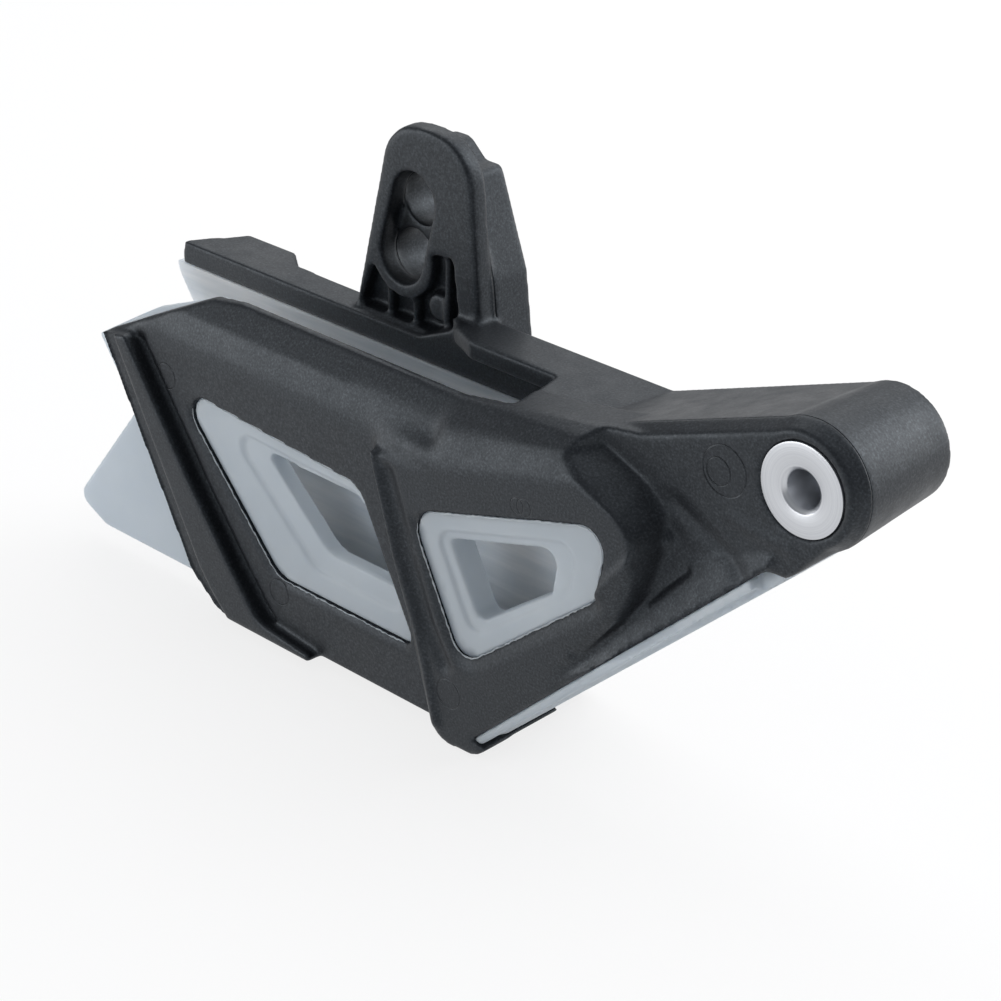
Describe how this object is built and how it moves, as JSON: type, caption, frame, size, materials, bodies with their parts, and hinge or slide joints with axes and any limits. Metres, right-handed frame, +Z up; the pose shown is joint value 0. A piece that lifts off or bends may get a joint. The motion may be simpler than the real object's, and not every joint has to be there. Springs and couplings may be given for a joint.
{
  "type": "chain guard",
  "caption": "Moulded chain guide for a motorbike: open-topped channel with side windows, pale wear liner, tall slotted fixing tower and a sleeved front arm.",
  "frame": {"origin": "middle of the bushing, on its bore axis", "axes": "+X along the chain toward the bushing, +Y from the near wall to the far wall along the bore, +Z up"},
  "size_m": [0.1922, 0.042, 0.1004],
  "materials": {
    "shell_plastic": "black moulded nylon with a fine spark-eroded grain",
    "liner_plastic": "translucent grey-white polyethylene",
    "turned_aluminium": "fine turned"
  },
  "bodies": {
    "root": {"outer_shell": "shell_plastic", "wear_liner": "liner_plastic", "front_bushing": "turned_aluminium"}
  },
  "joints": []
}
